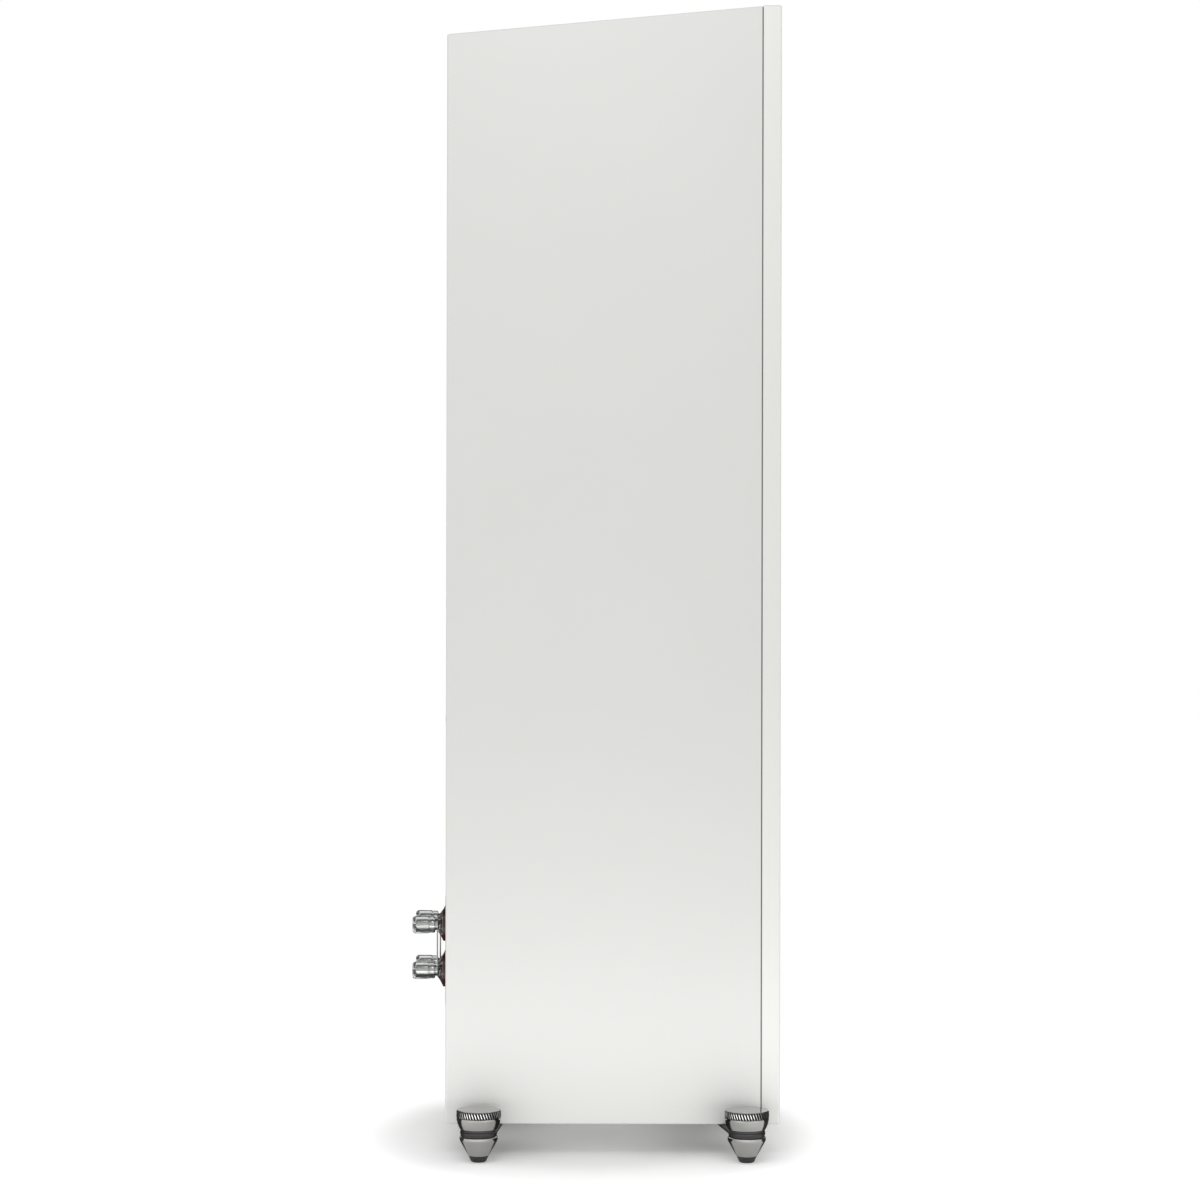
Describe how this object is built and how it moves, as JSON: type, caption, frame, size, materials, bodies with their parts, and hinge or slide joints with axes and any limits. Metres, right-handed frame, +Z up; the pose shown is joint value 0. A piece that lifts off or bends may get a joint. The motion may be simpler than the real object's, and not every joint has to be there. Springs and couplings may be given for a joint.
{
  "type": "floorstanding speaker",
  "caption": "Tall white tower loudspeaker with a sloping top, column of drivers in its front, bass port and screw terminals behind, on outrigger feet with knurled lock knobs.",
  "frame": {"origin": "on the floor, at the centre of the bounding box's base", "axes": "+Z up, front baffle towards -Y, +X to the right of someone who faces the front"},
  "size_m": [0.3376, 0.366, 1.13],
  "materials": {
    "cabinet_white": "satin white lacquer",
    "bare_board": "bare fibreboard",
    "gasket": "matt",
    "foam": "open foam",
    "black_plastic": "satin",
    "dome": "coated silk",
    "magnet": "zinc plated steel and ferrite",
    "basket": "black coated casting",
    "surround": "matt",
    "spider": "phenolic cloth",
    "cone": "satin anodised",
    "coil": "enamelled copper",
    "circuit_board": "solder mask",
    "capacitor": "wrapped film",
    "resistor": "matt cement",
    "wire": "soft insulation",
    "black_steel": "black powder coat",
    "polarity_ring": "gloss",
    "dark_nickel": "polished dark nickel",
    "nickel": "polished nickel",
    "gold": "plated",
    "clear_knob": "clear acrylic",
    "rubber_tip": "matt"
  },
  "bodies": {
    "cabinet": {"left_side_panel": "cabinet_white", "right_side_panel": "cabinet_white", "top_panel": "cabinet_white", "bottom_panel": "cabinet_white", "back_panel": "cabinet_white", "front_baffle": "cabinet_white", "baffle_gasket": "gasket", "internal_shelves": "bare_board", "damping_foam": "foam", "bass_port": "black_plastic", "tweeter_waveguide": "black_plastic", "tweeter_magnet": "magnet", "driver_baskets": "basket", "driver_magnets": "magnet", "driver_surrounds": "surround", "driver_spiders": "spider", "crossover_board": "circuit_board", "crossover_inductors": "coil", "crossover_capacitors": "capacitor", "crossover_resistors": "resistor", "internal_wiring": "wire", "panel_screws": "black_steel", "terminal_plate": "black_plastic", "polarity_rings": "polarity_ring", "post_cones": "nickel", "binding_posts": "gold", "jumper_links": "nickel", "outriggers": "black_steel", "outrigger_bolts": "black_steel"},
    "midrange_diaphragm": {"midrange_cone": "cone", "midrange_coil": "coil"},
    "woofer_upper_diaphragm": {"woofer_upper_cone": "cone", "woofer_upper_coil": "coil"},
    "woofer_lower_diaphragm": {"woofer_lower_cone": "cone", "woofer_lower_coil": "coil"},
    "tweeter_diaphragm": {"tweeter_dome": "dome"},
    "foot_tip_front_left": {"foot_tip_front_left": "rubber_tip"},
    "foot_cone_front_left": {"foot_cone_front_left": "dark_nickel"},
    "lock_washer_front_left": {"lock_washer_front_left": "black_steel"},
    "lock_knob_front_left": {"lock_knob_front_left": "dark_nickel"},
    "foot_tip_front_right": {"foot_tip_front_right": "rubber_tip"},
    "foot_cone_front_right": {"foot_cone_front_right": "dark_nickel"},
    "lock_washer_front_right": {"lock_washer_front_right": "black_steel"},
    "lock_knob_front_right": {"lock_knob_front_right": "dark_nickel"},
    "foot_tip_rear_left": {"foot_tip_rear_left": "rubber_tip"},
    "foot_cone_rear_left": {"foot_cone_rear_left": "dark_nickel"},
    "lock_washer_rear_left": {"lock_washer_rear_left": "black_steel"},
    "lock_knob_rear_left": {"lock_knob_rear_left": "dark_nickel"},
    "foot_tip_rear_right": {"foot_tip_rear_right": "rubber_tip"},
    "foot_cone_rear_right": {"foot_cone_rear_right": "dark_nickel"},
    "lock_washer_rear_right": {"lock_washer_rear_right": "black_steel"},
    "lock_knob_rear_right": {"lock_knob_rear_right": "dark_nickel"},
    "post_washer_upper_left": {"post_washer_upper_left": "nickel"},
    "post_knob_upper_left": {"post_knob_upper_left": "clear_knob"},
    "post_washer_upper_right": {"post_washer_upper_right": "nickel"},
    "post_knob_upper_right": {"post_knob_upper_right": "clear_knob"},
    "post_washer_lower_left": {"post_washer_lower_left": "nickel"},
    "post_knob_lower_left": {"post_knob_lower_left": "clear_knob"},
    "post_washer_lower_right": {"post_washer_lower_right": "nickel"},
    "post_knob_lower_right": {"post_knob_lower_right": "clear_knob"}
  },
  "joints": [
    {"name": "midrange_stroke", "type": "slide", "parent": "cabinet", "child": "midrange_diaphragm", "axis": [0, -1, 0], "range_m": [-0.003, 0.003], "stiffness_N_per_m": 1200, "deforming": ["driver_surrounds", "driver_spiders"]},
    {"name": "woofer_upper_stroke", "type": "slide", "parent": "cabinet", "child": "woofer_upper_diaphragm", "axis": [0, -1, 0], "range_m": [-0.006, 0.006], "stiffness_N_per_m": 1200, "deforming": ["driver_surrounds", "driver_spiders"]},
    {"name": "woofer_lower_stroke", "type": "slide", "parent": "cabinet", "child": "woofer_lower_diaphragm", "axis": [0, -1, 0], "range_m": [-0.006, 0.006], "stiffness_N_per_m": 1200, "deforming": ["driver_surrounds", "driver_spiders"]},
    {"name": "tweeter_stroke", "type": "slide", "parent": "cabinet", "child": "tweeter_diaphragm", "axis": [0, -1, 0], "range_m": [-0.0003, 0.0003], "stiffness_N_per_m": 2000},
    {"name": "foot_height_front_left", "type": "slide", "parent": "cabinet", "child": "foot_tip_front_left", "axis": [0, 0, 1], "range_m": [-0.0082, 0]},
    {"name": "foot_turn_front_left", "type": "hinge", "parent": "foot_tip_front_left", "child": "foot_cone_front_left", "pos_m": [-0.147, -0.1485, 0], "axis": [0, 0, 1], "range_deg": [-2304, 0]},
    {"name": "lock_lift_front_left", "type": "slide", "parent": "cabinet", "child": "lock_washer_front_left", "axis": [0, 0, 1], "range_m": [0, 0.00401]},
    {"name": "lock_turn_front_left", "type": "hinge", "parent": "lock_washer_front_left", "child": "lock_knob_front_left", "pos_m": [-0.147, -0.1485, 0.0325], "axis": [0, 0, 1], "range_deg": [0, 1152]},
    {"name": "foot_height_front_right", "type": "slide", "parent": "cabinet", "child": "foot_tip_front_right", "axis": [0, 0, 1], "range_m": [-0.0082, 0]},
    {"name": "foot_turn_front_right", "type": "hinge", "parent": "foot_tip_front_right", "child": "foot_cone_front_right", "pos_m": [0.147, -0.1485, 0], "axis": [0, 0, 1], "range_deg": [-2304, 0]},
    {"name": "lock_lift_front_right", "type": "slide", "parent": "cabinet", "child": "lock_washer_front_right", "axis": [0, 0, 1], "range_m": [0, 0.00401]},
    {"name": "lock_turn_front_right", "type": "hinge", "parent": "lock_washer_front_right", "child": "lock_knob_front_right", "pos_m": [0.147, -0.1485, 0.0325], "axis": [0, 0, 1], "range_deg": [0, 1152]},
    {"name": "foot_height_rear_left", "type": "slide", "parent": "cabinet", "child": "foot_tip_rear_left", "axis": [0, 0, 1], "range_m": [-0.0082, 0]},
    {"name": "foot_turn_rear_left", "type": "hinge", "parent": "foot_tip_rear_left", "child": "foot_cone_rear_left", "pos_m": [-0.147, 0.1115, 0], "axis": [0, 0, 1], "range_deg": [-2304, 0]},
    {"name": "lock_lift_rear_left", "type": "slide", "parent": "cabinet", "child": "lock_washer_rear_left", "axis": [0, 0, 1], "range_m": [0, 0.00401]},
    {"name": "lock_turn_rear_left", "type": "hinge", "parent": "lock_washer_rear_left", "child": "lock_knob_rear_left", "pos_m": [-0.147, 0.1115, 0.0325], "axis": [0, 0, 1], "range_deg": [0, 1152]},
    {"name": "foot_height_rear_right", "type": "slide", "parent": "cabinet", "child": "foot_tip_rear_right", "axis": [0, 0, 1], "range_m": [-0.0082, 0]},
    {"name": "foot_turn_rear_right", "type": "hinge", "parent": "foot_tip_rear_right", "child": "foot_cone_rear_right", "pos_m": [0.147, 0.1115, 0], "axis": [0, 0, 1], "range_deg": [-2304, 0]},
    {"name": "lock_lift_rear_right", "type": "slide", "parent": "cabinet", "child": "lock_washer_rear_right", "axis": [0, 0, 1], "range_m": [0, 0.00401]},
    {"name": "lock_turn_rear_right", "type": "hinge", "parent": "lock_washer_rear_right", "child": "lock_knob_rear_right", "pos_m": [0.147, 0.1115, 0.0325], "axis": [0, 0, 1], "range_deg": [0, 1152]},
    {"name": "post_slide_upper_left", "type": "slide", "parent": "cabinet", "child": "post_washer_upper_left", "axis": [0, 1, 0], "range_m": [0, 0.00501]},
    {"name": "post_turn_upper_left", "type": "hinge", "parent": "post_washer_upper_left", "child": "post_knob_upper_left", "pos_m": [-0.029, 0.16, 0.217], "axis": [0, 1, 0], "range_deg": [0, 1800]},
    {"name": "post_slide_upper_right", "type": "slide", "parent": "cabinet", "child": "post_washer_upper_right", "axis": [0, 1, 0], "range_m": [0, 0.00501]},
    {"name": "post_turn_upper_right", "type": "hinge", "parent": "post_washer_upper_right", "child": "post_knob_upper_right", "pos_m": [0.029, 0.16, 0.217], "axis": [0, 1, 0], "range_deg": [0, 1800]},
    {"name": "post_slide_lower_left", "type": "slide", "parent": "cabinet", "child": "post_washer_lower_left", "axis": [0, 1, 0], "range_m": [0, 0.00501]},
    {"name": "post_turn_lower_left", "type": "hinge", "parent": "post_washer_lower_left", "child": "post_knob_lower_left", "pos_m": [-0.029, 0.16, 0.171], "axis": [0, 1, 0], "range_deg": [0, 1800]},
    {"name": "post_slide_lower_right", "type": "slide", "parent": "cabinet", "child": "post_washer_lower_right", "axis": [0, 1, 0], "range_m": [0, 0.00501]},
    {"name": "post_turn_lower_right", "type": "hinge", "parent": "post_washer_lower_right", "child": "post_knob_lower_right", "pos_m": [0.029, 0.16, 0.171], "axis": [0, 1, 0], "range_deg": [0, 1800]}
  ],
  "couplings": [
    {"joint": "foot_height_front_left", "follows": "foot_turn_front_left", "m_per_rad": 0.00019894},
    {"joint": "lock_lift_front_left", "follows": "lock_turn_front_left", "m_per_rad": 0.00019894},
    {"joint": "foot_height_front_right", "follows": "foot_turn_front_right", "m_per_rad": 0.00019894},
    {"joint": "lock_lift_front_right", "follows": "lock_turn_front_right", "m_per_rad": 0.00019894},
    {"joint": "foot_height_rear_left", "follows": "foot_turn_rear_left", "m_per_rad": 0.00019894},
    {"joint": "lock_lift_rear_left", "follows": "lock_turn_rear_left", "m_per_rad": 0.00019894},
    {"joint": "foot_height_rear_right", "follows": "foot_turn_rear_right", "m_per_rad": 0.00019894},
    {"joint": "lock_lift_rear_right", "follows": "lock_turn_rear_right", "m_per_rad": 0.00019894},
    {"joint": "post_slide_upper_left", "follows": "post_turn_upper_left", "m_per_rad": 0.00015915},
    {"joint": "post_slide_upper_right", "follows": "post_turn_upper_right", "m_per_rad": 0.00015915},
    {"joint": "post_slide_lower_left", "follows": "post_turn_lower_left", "m_per_rad": 0.00015915},
    {"joint": "post_slide_lower_right", "follows": "post_turn_lower_right", "m_per_rad": 0.00015915}
  ]
}
